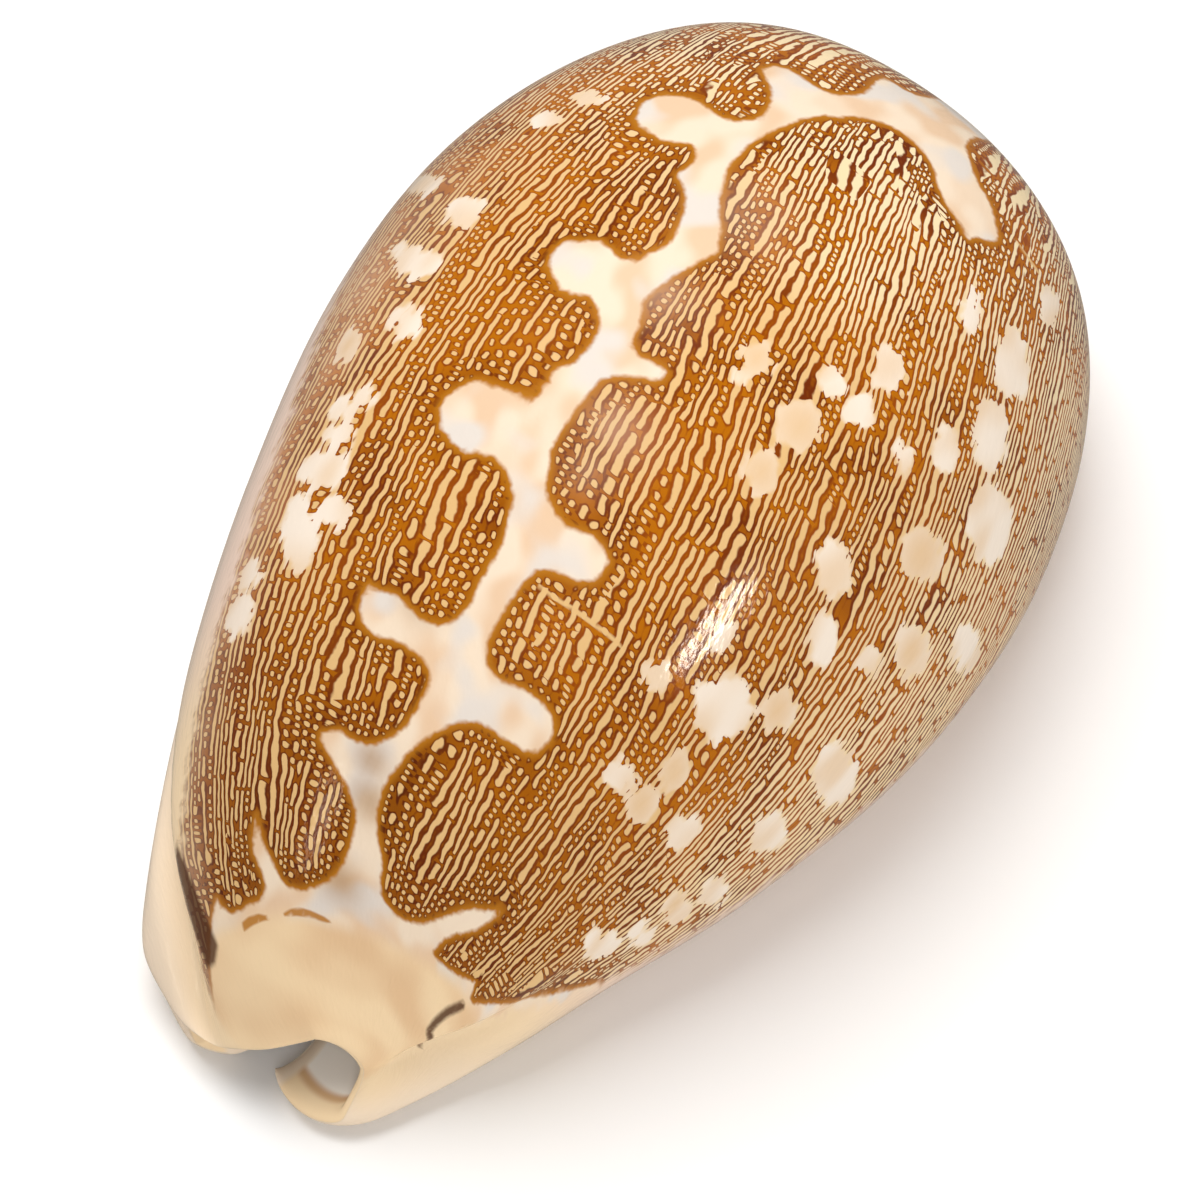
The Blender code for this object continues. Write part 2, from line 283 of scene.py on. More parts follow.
def roundEnds(form, rows, partner):
    # evens the points along the shell near both ends, and across the line where outside and inside meet
    place = np.minimum(np.arange(len(rows)), np.arange(len(rows))[::-1] * form["backRounding"])
    full = form["roundedRows"] * form["fullyRounded"]
    share = (1 - softStep(place, full, form["roundedRows"]))[:, None, None]
    for _ in range(form["roundingPasses"]):
        before = np.concatenate([rows[1:2][:, partner], rows[:-1]])
        after = np.concatenate([rows[1:], rows[-2:-1][:, partner]])
        rows = rows + (before + after - 2 * rows) / 4 * share
    rows[:, :, 2] = np.maximum(rows[:, :, 2], 0.0)
    return rows


def buildWall(form):
    loops = wallRows(form)
    count = loops.shape[1]
    span = 2 * (form["baseColumns"] + form["upperColumns"]) + 1
    partner = (2 * span + form["lipColumns"] - 2 - np.arange(count)) % count
    front = np.array(rimRows(form, loops[0], -1.0, partner))[::-1]
    back = np.array(rimRows(form, loops[-1], 1.0, partner))
    rows = roundEnds(form, np.concatenate([front, loops, back]), partner)
    ids = np.arange(rows.shape[0] * count).reshape(rows.shape[:2])
    ids[0] = np.minimum(ids[0], ids[0][partner])  # both sides of the wall meet in one line
    ids[-1] = np.minimum(ids[-1], ids[-1][partner])
    near, far = ids[:-1], ids[1:]
    quads = np.stack([near, np.roll(near, -1, 1), np.roll(far, -1, 1), far], axis=2).reshape(-1, 4)
    faces = []
    for quad in quads.tolist():
        corners = [v for i, v in enumerate(quad) if v != quad[i - 1]]
        if len(set(corners)) > 2:
            faces.append(corners)
    return rows, ids, faces


rows, rowIds, wallFaces = buildWall(shellForm)
rawLow, rawHigh = rows.min(axis=(0, 1)), rows.max(axis=(0, 1))
boxGap = 0.00002  # metres that the skin keeps inside the CAD box
fitScale = (cadHigh - cadLow - 2 * boxGap) / (rawHigh - rawLow)
fitScale[2] = (cadHigh[2] - cadLow[2] - boxGap) / (rawHigh[2] - rawLow[2])
fitMove = cadLow + np.array([boxGap, boxGap, 0.0]) - rawLow * fitScale


def toMetres(point):
    # from the millimetres of shellForm to the CAD box
    return np.asarray(point) * fitScale + fitMove


print("Wall sections made:", rows.shape[0], "rows of", rows.shape[1], "points")

# The camera stands where the photograph was taken from, aimed at the middle of its frame.
camera = {
    "azimuth": 36.07,
    "elevation": 60.79,
    "distance": 0.45004,
    "lens": 218.0,
    "sensor": 36.0,
    "nearest": 0.01,
    "aim": (2.94, -4.48, 14.91),
}


def placeCamera(settings):
    turn, lift = radians(settings["azimuth"]), radians(settings["elevation"])
    back = Vector((sin(turn) * cos(lift), -cos(turn) * cos(lift), sin(lift)))
    right = Vector((cos(turn), sin(turn), 0.0))
    up = back.cross(right)
    lens = bpy.data.cameras.new("photoCamera")
    lens.sensor_width = settings["sensor"]
    lens.lens = settings["lens"]
    lens.clip_start = settings["nearest"]
    view = bpy.data.objects.new("photoCamera", lens)
    spot = Vector(toMetres(settings["aim"])) + back * settings["distance"]
    view.matrix_world = Matrix.Translation(spot) @ Matrix((right, up, back)).transposed().to_4x4()
    bpy.context.scene.collection.objects.link(view)
    bpy.context.scene.camera = view
    return view


view = placeCamera(camera)


def pixelRay(view, x, y):
    # from the camera through a pixel of the photograph
    half = view.data.sensor_width / 2 / view.data.lens
    step = imageSize / 2
    way = Vector(((x - step) / step * half, (step - y) / step * half, -1.0))
    turned = view.matrix_world.to_3x3() @ way
    return view.matrix_world.translation, turned.normalized()


span = 2 * (shellForm["baseColumns"] + shellForm["upperColumns"]) + 1
crestColumn = shellForm["baseColumns"] + shellForm["upperColumns"]
points = toMetres(rows)

# How far each point lies round the section from the crest, and along the shell from its middle.
steps = np.linalg.norm(np.diff(rows[:, :span], axis=1), axis=2)
reach = np.concatenate([np.zeros((len(rows), 1)), np.cumsum(steps, axis=1)], axis=1)
around = reach - reach[:, crestColumn:crestColumn + 1]
crestSteps = np.linalg.norm(np.diff(rows[:, crestColumn], axis=0), axis=1)
alongCrest = np.concatenate([[0.0], np.cumsum(crestSteps)])
alongCrest -= np.interp(0.0, rows[:, crestColumn, 1], alongCrest)
along = np.repeat(alongCrest[:, None], span, axis=1)
leftMarginReach = around[:, shellForm["baseColumns"]]
rightMarginReach = around[:, span - 1 - shellForm["baseColumns"]]

outerFaces = []
for i in range(shellForm["rimRows"], len(rows) - shellForm["rimRows"] - 1):
    near, far = rowIds[i, :span], rowIds[i + 1, :span]
    outerFaces.extend(zip(near[:-1].tolist(), near[1:].tolist(), far[1:].tolist(), far[:-1].tolist()))
outerTree = BVHTree.FromPolygons([Vector(p) for p in points.reshape(-1, 3)], outerFaces)


def surfacePlace(x, y):
    # the place on the back of the shell that shows at a pixel: millimetres round and along
    start, way = pixelRay(view, x, y)
    spot, _, face, _ = outerTree.ray_cast(start, way)
    if spot is None:
        return None
    corners = np.array(outerFaces[face])
    gaps = np.linalg.norm(points.reshape(-1, 3)[corners] - np.array(spot), axis=1)
    weights = 1 / (gaps + leastGap) ** 2
    row, column = corners // rows.shape[1], corners % rows.shape[1]
    weights /= weights.sum()
    return (float((around[row, column] * weights).sum()), float((along[row, column] * weights).sum()))


def castPixels(pixels):
    found = [surfacePlace(x, y) for x, y in pixels]
    return np.array([place for place in found if place is not None])


def edgeDistance(shape, closed=True):
    # millimetres from every outer point to a drawn outline, less than nothing inside it
    px, py = around, along
    best = np.full(px.shape, np.inf)
    inside = np.zeros(px.shape, bool)
    ends = np.roll(shape, -1, axis=0) if closed else shape[1:]
    for (ax, ay), (bx, by) in zip(shape, ends):
        dx, dy = bx - ax, by - ay
        t = ((px - ax) * dx + (py - ay) * dy) / max(dx * dx + dy * dy, leastSquare)
        t = np.clip(t, 0.0, 1.0)
        best = np.minimum(best, (px - ax - t * dx) ** 2 + (py - ay - t * dy) ** 2)
        if closed and ay != by:
            crossing = ((ay > py) != (by > py)) & (px < ax + (py - ay) * dx / (by - ay))
            inside ^= crossing
    return np.where(inside, -1, 1) * np.sqrt(best)


# Marks drawn over the photograph, as its own pixels, and cast onto the shell from the camera.
backPattern = {
    # left edge of the pale branching line, from the neck to the far end
    "lineLeft": (
        (216, 898), (222, 908), (230, 914), (240, 911), (250, 905), (262, 901), (266, 890), (265, 878),
        (260, 867), (254, 854), (252, 840), (254, 826), (258, 815), (259, 830), (262, 842), (268, 854),
        (274, 866), (280, 879), (290, 888), (302, 891), (315, 888), (328, 882), (338, 873), (345, 862),
        (350, 848), (354, 832), (356, 812), (354, 803), (350, 795), (346, 782), (340, 771), (334, 763),
        (329, 754), (324, 747), (321, 740), (321, 734), (330, 732), (341, 731), (350, 738), (360, 743),
        (371, 745), (382, 743), (392, 738), (400, 731), (408, 722), (416, 711), (423, 700), (428, 689),
        (430, 678), (428, 667), (423, 659), (416, 652), (408, 646), (400, 642), (390, 638), (380, 637),
        (373, 634), (367, 627), (362, 618), (360, 608), (361, 598), (364, 590), (368, 584), (373, 588),
        (379, 592), (386, 589), (393, 593), (400, 599), (405, 605), (412, 611), (420, 618), (430, 624),
        (440, 627), (452, 623), (462, 616), (470, 606), (476, 595), (481, 583), (487, 575), (492, 564),
        (499, 555), (503, 546), (504, 535), (508, 522), (512, 510), (513, 498), (512, 487), (509, 477),
        (504, 468), (499, 460), (493, 456), (486, 454), (479, 453), (473, 450), (466, 452), (458, 447),
        (451, 443), (447, 435), (442, 426), (440, 416), (441, 408), (446, 399), (452, 392), (460, 387),
        (470, 383), (480, 381), (490, 386), (500, 385), (508, 391), (517, 391), (520, 401), (528, 403),
        (536, 400), (542, 395), (544, 387), (550, 385), (552, 376), (558, 369), (566, 366), (575, 362),
        (584, 356), (591, 348), (597, 338), (600, 325), (600, 312), (596, 301), (588, 294), (578, 294),
        (570, 293), (563, 290), (557, 283), (553, 275), (550, 266), (550, 255), (556, 246), (566, 242),
        (578, 241), (590, 241), (602, 243), (609, 248), (615, 254), (622, 260), (632, 262), (642, 260),
        (655, 252), (667, 244), (675, 233), (681, 222), (685, 210), (686, 198), (684, 188), (679, 180),
        (676, 174), (684, 170), (692, 167), (697, 158), (697, 148), (690, 143), (681, 142), (672, 142),
        (662, 140), (654, 136), (648, 130), (641, 127), (637, 119), (638, 110), (643, 102), (650, 99),
        (658, 97), (666, 95), (676, 96), (686, 98), (696, 101), (704, 106), (712, 112), (722, 118),
        (733, 121), (745, 121), (756, 119), (764, 113), (770, 104), (773, 94), (770, 84), (764, 74),
        (763, 68), (774, 66), (785, 67), (793, 71), (800, 76), (807, 81), (814, 86), (822, 91), (832, 94),
        (844, 95), (856, 96), (866, 93), (872, 88), (877, 81), (884, 78), (891, 81), (898, 86), (908, 92),
        (918, 96), (928, 98), (938, 99)),
    # right edge of the same line, from the far end back to the neck
    "lineRight": (
        (984, 139), (975, 137), (967, 140), (966, 148), (969, 158), (972, 170), (977, 182), (983, 192),
        (989, 201), (993, 212), (996, 224), (998, 236), (992, 241), (984, 240), (976, 238), (969, 240),
        (963, 232), (961, 224), (956, 217), (950, 210), (945, 202), (941, 192), (938, 182), (935, 172),
        (931, 163), (926, 154), (920, 146), (913, 141), (906, 136), (899, 131), (891, 126), (882, 122),
        (872, 119), (862, 117), (850, 116), (838, 117), (825, 116), (812, 117), (800, 119), (790, 123),
        (779, 128), (768, 134), (758, 140), (748, 145), (741, 151), (733, 162), (728, 170), (724, 180),
        (721, 190), (720, 202), (719, 215), (720, 228), (721, 240), (718, 250), (711, 257), (700, 261),
        (690, 266), (680, 271), (671, 278), (662, 286), (655, 292), (648, 298), (643, 306), (640, 316),
        (637, 326), (634, 336), (632, 345), (636, 354), (644, 360), (653, 363), (661, 367), (668, 373),
        (664, 379), (655, 380), (645, 378), (632, 376), (619, 375), (608, 378), (599, 383), (590, 390),
        (583, 397), (577, 404), (571, 413), (565, 423), (560, 433), (555, 443), (551, 454), (548, 466),
        (546, 478), (546, 490), (549, 501), (553, 510), (558, 518), (566, 525), (574, 531), (584, 533),
        (593, 537), (600, 543), (606, 551), (607, 560), (603, 571), (596, 579), (586, 581), (576, 580),
        (566, 576), (556, 571), (545, 569), (535, 571), (528, 577), (522, 583), (516, 590), (510, 598),
        (505, 606), (500, 615), (496, 624), (492, 632), (488, 642), (486, 653), (487, 664), (491, 673),
        (498, 680), (507, 685), (517, 687), (526, 692), (534, 697), (542, 703), (549, 712), (554, 723),
        (554, 733), (550, 742), (543, 748), (535, 753), (526, 751), (518, 746), (508, 742), (500, 737),
        (492, 730), (484, 725), (475, 722), (465, 721), (455, 723), (446, 727), (438, 731), (431, 735),
        (423, 739), (415, 746), (407, 755), (400, 763), (393, 771), (387, 779), (382, 789), (379, 800),
        (377, 813), (376, 828), (378, 842), (381, 856), (381, 872), (380, 885), (383, 898), (388, 907),
        (395, 915), (404, 921), (415, 924), (428, 923), (438, 920), (447, 916), (456, 914), (466, 911),
        (476, 909), (486, 911), (495, 911), (503, 907), (500, 914), (491, 920), (483, 926), (474, 930),
        (464, 932), (454, 934), (445, 939), (438, 945), (433, 952), (436, 959), (442, 965), (450, 971),
        (459, 976), (468, 980), (475, 983), (472, 991), (469, 999), (472, 1004), (495, 1004), (520, 1001),
        (545, 996), (570, 990), (598, 983)),
    # where the pale line runs on behind the view and down to the front rim, as millimetres round and along
    "lineFarEnd": (
        (2.9, 36.5), (0.4, 40.0), (-1.2, 43.5), (-0.6, 47.0), (1.0, 50.0), (1.0, 60.0), (5.0, 60.0),
        (5.0, 50.0), (2.6, 46.5), (2.2, 43.0), (4.2, 39.5), (6.6, 36.5)),
    "lineFrontEnd": (
        (36.0, -24.0), (60.0, -30.0), (60.0, -70.0), (-60.0, -70.0), (-60.0, -52.0), (-7.6, -49.5),
        (-7.2, -47.6)),
    # upper edge of the plain neck, and the rest of its outline as millimetres round and along
    "neckEdge": (
        (210, 936), (222, 926), (250, 917), (300, 914), (340, 925), (380, 940), (425, 960), (460, 985),
        (472, 1006)),
    "neckRest": ((40.0, -34.0), (60.0, -70.0), (-60.0, -70.0), (-8.0, -48.0)),
    # two healed scars, two ochre arcs over the neck, and the creases beside the two margins, whose dark
    # brown is partly the shell's own and partly painted shade in the grooves
    "scars": (
        ((535, 582), (548, 594), (575, 610), (600, 628), (616, 640), (622, 648)),
        ((1015, 240), (1028, 258), (1040, 275))),
    "arcs": (
        ((242, 925), (248, 919), (258, 915), (268, 917), (272, 918), (262, 920), (252, 924), (244, 929)),
        ((284, 915), (290, 911), (300, 909), (308, 911), (320, 916), (331, 922), (322, 921), (310, 916),
         (298, 915))),
    "leftCrease": (
        (176, 845), (183, 862), (190, 880), (200, 905), (208, 925), (216, 945), (214, 962), (208, 966),
        (201, 947), (193, 925), (186, 905), (180, 880)),
    "rightSlit": ((421, 1044), (428, 1033), (437, 1021), (447, 1012), (462, 1005)),
    "leftCreaseSpread": 0.15,
    "rightSlitSpread": -0.08,
    # pale spots as pixel, half width and half height
    "spots": (
        (722, 708, 28, 30), (778, 710, 18, 17), (835, 775, 20, 27), (768, 833, 16, 17), (683, 830, 15, 14),
        (677, 908, 13, 12), (716, 892, 12, 11), (675, 770, 15, 14), (640, 803, 14, 15), (600, 945, 16, 12),
        (640, 935, 10, 9), (990, 522, 21, 38), (923, 555, 17, 24), (833, 567, 16, 27), (912, 652, 15, 24),
        (870, 662, 11, 12), (966, 648, 11, 20), (1012, 365, 16, 33), (990, 435, 16, 33), (890, 370, 14, 22),
        (862, 412, 14, 13), (832, 385, 11, 13), (800, 425, 19, 22), (755, 355, 14, 15), (760, 470, 16, 18),
        (822, 640, 11, 24), (945, 450, 10, 18), (905, 460, 8, 14), (970, 310, 8, 18), (1050, 305, 8, 18),
        (620, 775, 12, 8), (418, 263, 19, 12), (407, 322, 14, 13), (347, 345, 9, 11), (360, 400, 10, 10),
        (325, 470, 22, 18), (333, 515, 15, 14), (240, 615, 10, 18), (298, 535, 14, 36), (425, 185, 14, 9),
        (465, 212, 14, 13), (345, 410, 12, 9), (340, 435, 13, 10), (395, 250, 6, 5), (250, 575, 8, 10),
        (545, 120, 9, 5), (590, 98, 12, 5), (655, 675, 10, 9), (725, 640, 12, 9), (745, 375, 9, 8)),
    # soft patches as pixel and millimetres: tan spots, milky enamel, open lines, and shade on the pale line
    "tanSpots": (
        (755, 355, 2.0), (800, 425, 2.6), (760, 470, 2.2), (923, 555, 2.8), (778, 710, 2.0),
        (675, 770, 2.0), (640, 803, 2.0), (912, 652, 2.0), (347, 345, 1.5), (675, 905, 1.5)),
    "milkyPatches": ((610, 430, 2.2), (660, 300, 2.2), (740, 220, 2.6), (590, 470, 1.6)),
    "openPatches": ((900, 200, 4.5), (860, 270, 3.5)),
    "shadedPatches": ((340, 880, 1.6), (368, 800, 1.4), (372, 760, 1.2), (425, 600, 1.4)),
}


def softPatches(listed):
    # soft round patches about pixels of the photograph, 1 at their middles
    height = np.zeros(around.shape)
    for x, y, size in listed:
        u, v = surfacePlace(x, y)
        height = np.maximum(height, np.exp(-((around - u) ** 2 + (along - v) ** 2) / size**2))
    return height


leftEdge = castPixels(backPattern["lineLeft"])
rightEdge = castPixels(backPattern["lineRight"])
print("Pale line cast onto the shell:", len(leftEdge) + len(rightEdge), "points")

farOff = 9.0  # millimetres that stand for a mark with nothing near it
paleLine = np.concatenate([leftEdge, backPattern["lineFarEnd"], rightEdge, backPattern["lineFrontEnd"]])
lineGap = edgeDistance(paleLine)
neckGap = edgeDistance(np.concatenate([castPixels(backPattern["neckEdge"]), backPattern["neckRest"]]))
spotGap = np.full(around.shape, farOff)
for x, y, wide, high in backPattern["spots"]:
    ring = castPixels([(x + wide * cos(t), y + high * sin(t)) for t in np.linspace(0, 2 * pi, 13)[:-1]])
    if len(ring) > 4:
        spotGap = np.minimum(spotGap, edgeDistance(ring))
scarLines = [castPixels(scar) for scar in backPattern["scars"]]
scarGap = np.minimum(*(np.abs(edgeDistance(scar, closed=False)) for scar in scarLines))
arcGap = np.minimum(*(edgeDistance(castPixels(arc)) for arc in backPattern["arcs"]))
# distances to the dark marks in the left crease and the right slit: painted shade over their own brown
leftCreaseShadeGap = edgeDistance(castPixels(backPattern["leftCrease"])) + backPattern["leftCreaseSpread"]
rightSlitShadeGap = np.abs(edgeDistance(castPixels(backPattern["rightSlit"]), closed=False))
creaseShadeGap = np.minimum(leftCreaseShadeGap, rightSlitShadeGap + backPattern["rightSlitSpread"])
print("Spots, scars and neck cast onto the shell")

# The brown lines run along the shell, counted round its widest part.
linePattern = {
    "countedAt": -5.0,  # millimetres along
    "followingSteps": 90,
    "spacing": 0.7,
    "leastSpacing": 0.44,
    # how the lines lean, as factors with the powers of the places round and along, in leanUnits
    "lean": ((-0.12, 0, 0), (-0.28, 1, 0), (-0.04, 0, 1), (-0.28, 1, 1), (-0.02, 2, 0), (-0.02, 0, 2),
             (-0.05, 2, 1), (0.135, 1, 2), (0.044, 3, 0)),
    "leanUnit": 20.0,
    "leanRound": (-24.0, 36.0),
    "leanAlong": (-46.0, 26.0),
    # they follow the outline evenly at the back end and on the left flank
    "evenAlong": (20.0, 34.0),
    "evenLeft": (18.0, 32.0),
    # the pattern's lower edges, as shares of the way from the crest to the margin
    "marginAlong": (-55, -45, -40, -34, -30, -26, -20, -12, 0, 30, 55),
    "leftMargin": (0.50, 0.50, 0.54, 0.55, 0.54, 0.53, 0.51, 0.53, 0.62, 0.85, 0.92),
    "rightMargin": (0.60, 0.74, 0.80, 0.88, 0.94, 1.03, 1.07, 1.07, 1.07, 1.05, 0.98),
    # lines end less early on the right flank
    "flankRound": (22, 31),
    "flankAlong": (-12, 0),
    "flankEase": 0.6,
    # milky enamel near the lower edges and on the left flank towards the front
    "milkyEdge": (-0.2, 0.0),
    "milkyLeft": 0.35,
    "milkyRight": 0.1,
    "milkySideRound": (11, 19),
    "milkySideAlong": (-14, 2),
    # paler, more open lines on the right flank, and more dots by the pale line and on the left
    "openRound": (18, 34),
    "openPatch": 1.2,
    "dotsByLine": (0.8, 3.0),
    "dotsByLineShare": 0.45,
    "dotsLeft": (4, 12),
    "dotsLeftShare": 0.1,
}


def lineLean(u, v):
    # how many millimetres round the brown lines move for each millimetre along the shell
    a = np.clip(u, *linePattern["leanRound"]) / linePattern["leanUnit"]
    b = np.clip(v, *linePattern["leanAlong"]) / linePattern["leanUnit"]
    drawn = sum(factor * a**i * b**j for factor, i, j in linePattern["lean"])
    margin = np.interp(v, alongCrest, rightMarginReach)
    narrowing = np.gradient(rightMarginReach, alongCrest)
    even = u / margin * np.interp(v, alongCrest, narrowing)
    share = np.maximum(softStep(v, *linePattern["evenAlong"]), softStep(-u, *linePattern["evenLeft"]))
    return drawn * (1 - share) + even * share


def lineStart(u, v):
    # follows the lines from each point to the widest part of the shell
    u, v = u.copy(), v.copy()
    stride = (linePattern["countedAt"] - v) / linePattern["followingSteps"]
    for _ in range(linePattern["followingSteps"]):
        half = u + lineLean(u, v) * stride / 2
        u = u + lineLean(half, v + stride / 2) * stride
        v = v + stride
    return u


def pastPatternEdge(pattern):
    # how far each point lies past the pattern's lower edge, as a share of the way to the margin
    leftEnd = np.interp(along, pattern["marginAlong"], pattern["leftMargin"])
    rightEnd = np.interp(along, pattern["marginAlong"], pattern["rightMargin"])
    marginReach = np.where(around < 0, -leftMarginReach[:, None], rightMarginReach[:, None])
    return np.abs(around) / marginReach - np.where(around < 0, leftEnd, rightEnd)


def lineCrowding(pattern, lineCount):
    # above 1 where the lines would come closer together than their least spacing
    pace = np.gradient(lineCount, axis=1) / np.maximum(np.gradient(around, axis=1), leastStep)
    flank = softStep(around, *pattern["flankRound"]) * softStep(along, *pattern["flankAlong"])
    return np.abs(pace) * pattern["leastSpacing"] - pattern["flankEase"] * flank


def milkyShare(pattern, pastEdge):
    edge = softStep(pastEdge, *pattern["milkyEdge"])
    edge *= np.where(around < 0, pattern["milkyLeft"], pattern["milkyRight"])
    flank = softStep(-around, *pattern["milkySideRound"]) * softStep(-along, *pattern["milkySideAlong"])
    patches = np.maximum(flank, softPatches(backPattern["milkyPatches"]))
    return np.maximum(edge, pattern["milkyLeft"] * patches)


def dotShare(pattern):
    byLine = pattern["dotsByLineShare"] * (1 - softStep(lineGap, *pattern["dotsByLine"]))
    return byLine + pattern["dotsLeftShare"] * softStep(-around, *pattern["dotsLeft"])


def meshFrom(name, vertices, faces):
    # a smooth mesh object from points and faces, without the points that no face uses
    used = sorted({v for face in faces for v in face})
    place = {v: i for i, v in enumerate(used)}
    mesh = bpy.data.meshes.new(name)
    mesh.from_pydata(vertices[used].tolist(), [], [[place[v] for v in face] for face in faces])
    mesh.update()
    mesh.shade_smooth()
    piece = bpy.data.objects.new(name, mesh)
    bpy.context.scene.collection.objects.link(piece)
    return piece, used


shell, shellIds = meshFrom("cowrieShell", points.reshape(-1, 3), wallFaces)
print("Shell mesh made:", len(shell.data.vertices), "points,", len(shell.data.polygons), "faces")

loopSize = rows.shape[1]
innerSpan = span + shellForm["lipColumns"] - 1  # the first column of the inside


def onEveryPoint(values):
    # an array for the whole wall, or the values of the outer points with one for the lips and the inside
    if isinstance(values, tuple):
        outer, inner = values
        values = np.full((len(rows), loopSize), float(inner))
        values[:, :span] = outer
    return values.reshape(-1)[shellIds]


def addVectors(piece, name, *columns):
    stored = piece.data.attributes.new(name, "FLOAT_VECTOR", "POINT").data
    stored.foreach_set("vector", np.stack([onEveryPoint(column) for column in columns], 1).ravel())


def addNumbers(piece, name, values):
    piece.data.attributes.new(name, "FLOAT", "POINT").data.foreach_set("value", onEveryPoint(values))


def storePattern(piece, pattern):
    lineCount = lineStart(around, along) / pattern["spacing"]
    print("Lines followed over the shell:", round(float(np.ptp(lineCount))), "of them")
    pastEdge = pastPatternEdge(pattern)
    crowd = lineCrowding(pattern, lineCount)
    openPatches = pattern["openPatch"] * softPatches(backPattern["openPatches"])
    opened = np.maximum(softStep(around, *pattern["openRound"]), openPatches)
    inside = np.zeros((len(rows), loopSize))
    inside[:, innerSpan:innerSpan + span] = 1
    # outer values, each with the value that the lips and the inside have
    addVectors(piece, "linePlace", (lineCount, 0), (along, 0), (around, 0))
    addVectors(piece, "regions", (lineGap, -3), (spotGap, farOff), (neckGap, farOff))
    addVectors(piece, "marks", (scarGap, farOff), (arcGap, farOff), (creaseShadeGap, farOff))
    addVectors(piece, "tones", (dotShare(pattern), 0), (opened, 0), (crowd, 0.5))
    addVectors(piece, "skin", (milkyShare(pattern, pastEdge), 0), (pastEdge, 1), inside)
    addNumbers(piece, "lineShade", (softPatches(backPattern["shadedPatches"]), 0))
    addNumbers(piece, "spotTan", (softPatches(backPattern["tanSpots"]), 0))


def storeRims(piece):
    # how far each point lies from the two rims, and which side of the slit it is on
    steps = np.linalg.norm(np.diff(rows, axis=0), axis=2)
    fromFront = np.concatenate([np.zeros((1, loopSize)), np.cumsum(steps, axis=0)])
    side = np.sign(rows[:, :, 0] - shellForm["frontSlit"])
    addVectors(piece, "rims", fromFront, fromFront[-1] - fromFront, side)


# The teeth on the two lips: ridges over the lips' faces that run a little way out over the base.
teeth = {
    "first": -32.47,
    "last": 36.1,
    "spacing": 2.078,
    "height": 0.42,
    "depth": 0.28,
    "leftReach": 3.6,
    "rightReach": 2.6,
    "fullReach": 0.35,  # share of the reach at full height
    "fadeOutside": 1.2,
    "fadeWithin": 0.6,
}


def storeTeeth(piece, settings):
    lipGap = np.full((len(rows), loopSize), np.inf)
    lipGap[:, :span] = np.minimum(reach, reach[:, -1:] - reach)
    faceShare = np.zeros((len(rows), loopSize))
    for columns in (slice(span, innerSpan), slice(innerSpan + span, loopSize)):
        lipGap[:, columns] = 0
        faceShare[:, columns] = np.sin(np.linspace(0, pi, shellForm["lipColumns"] + 1)[1:-1])
    toothReach = np.full((len(rows), loopSize), settings["leftReach"])
    toothReach[:, crestColumn:innerSpan] = settings["rightReach"]
    y, first, last = rows[:, :, 1], settings["first"], settings["last"]
    started = softStep(y, first - settings["fadeOutside"], first + settings["fadeWithin"])
    ended = softStep(y, last - settings["fadeWithin"], last + settings["fadeOutside"])
    strength = (1 - softStep(lipGap / toothReach, settings["fullReach"], 1.0)) * (started * (1 - ended))
    addNumbers(piece, "toothStrength", strength)
    addNumbers(piece, "toothFace", faceShare)
    addNumbers(piece, "toothPlace", y - first)


storePattern(shell, linePattern)
storeRims(shell)
storeTeeth(shell, teeth)
print("Surface values stored")


class Term:
    # a value in a node tree, so that sums over nodes are written as Python sums
    def __init__(self, tree, socket):
        self.tree, self.socket = tree, socket

    def math(self, operation, *others):
        node = self.tree.nodes.new("ShaderNodeMath")
        node.operation = operation
        for place, value in enumerate((self, *others)):
            if isinstance(value, Term):
                self.tree.links.new(value.socket, node.inputs[place])
            else:
                node.inputs[place].default_value = value
        return Term(self.tree, node.outputs[0])

    def flipped(self, operation, value):
        node = self.tree.nodes.new("ShaderNodeMath")
        node.operation = operation
        node.inputs[0].default_value = value
        self.tree.links.new(self.socket, node.inputs[1])
        return Term(self.tree, node.outputs[0])

    def __add__(self, other):
        return self.math("ADD", other)

    def __sub__(self, other):
        return self.math("SUBTRACT", other)

    def __mul__(self, other):
        return self.math("MULTIPLY", other)

    def __truediv__(self, other):
        return self.math("DIVIDE", other)

    __radd__, __rmul__ = __add__, __mul__

    def __rsub__(self, value):
        return self.flipped("SUBTRACT", value)

    def __rtruediv__(self, value):
        return self.flipped("DIVIDE", value)


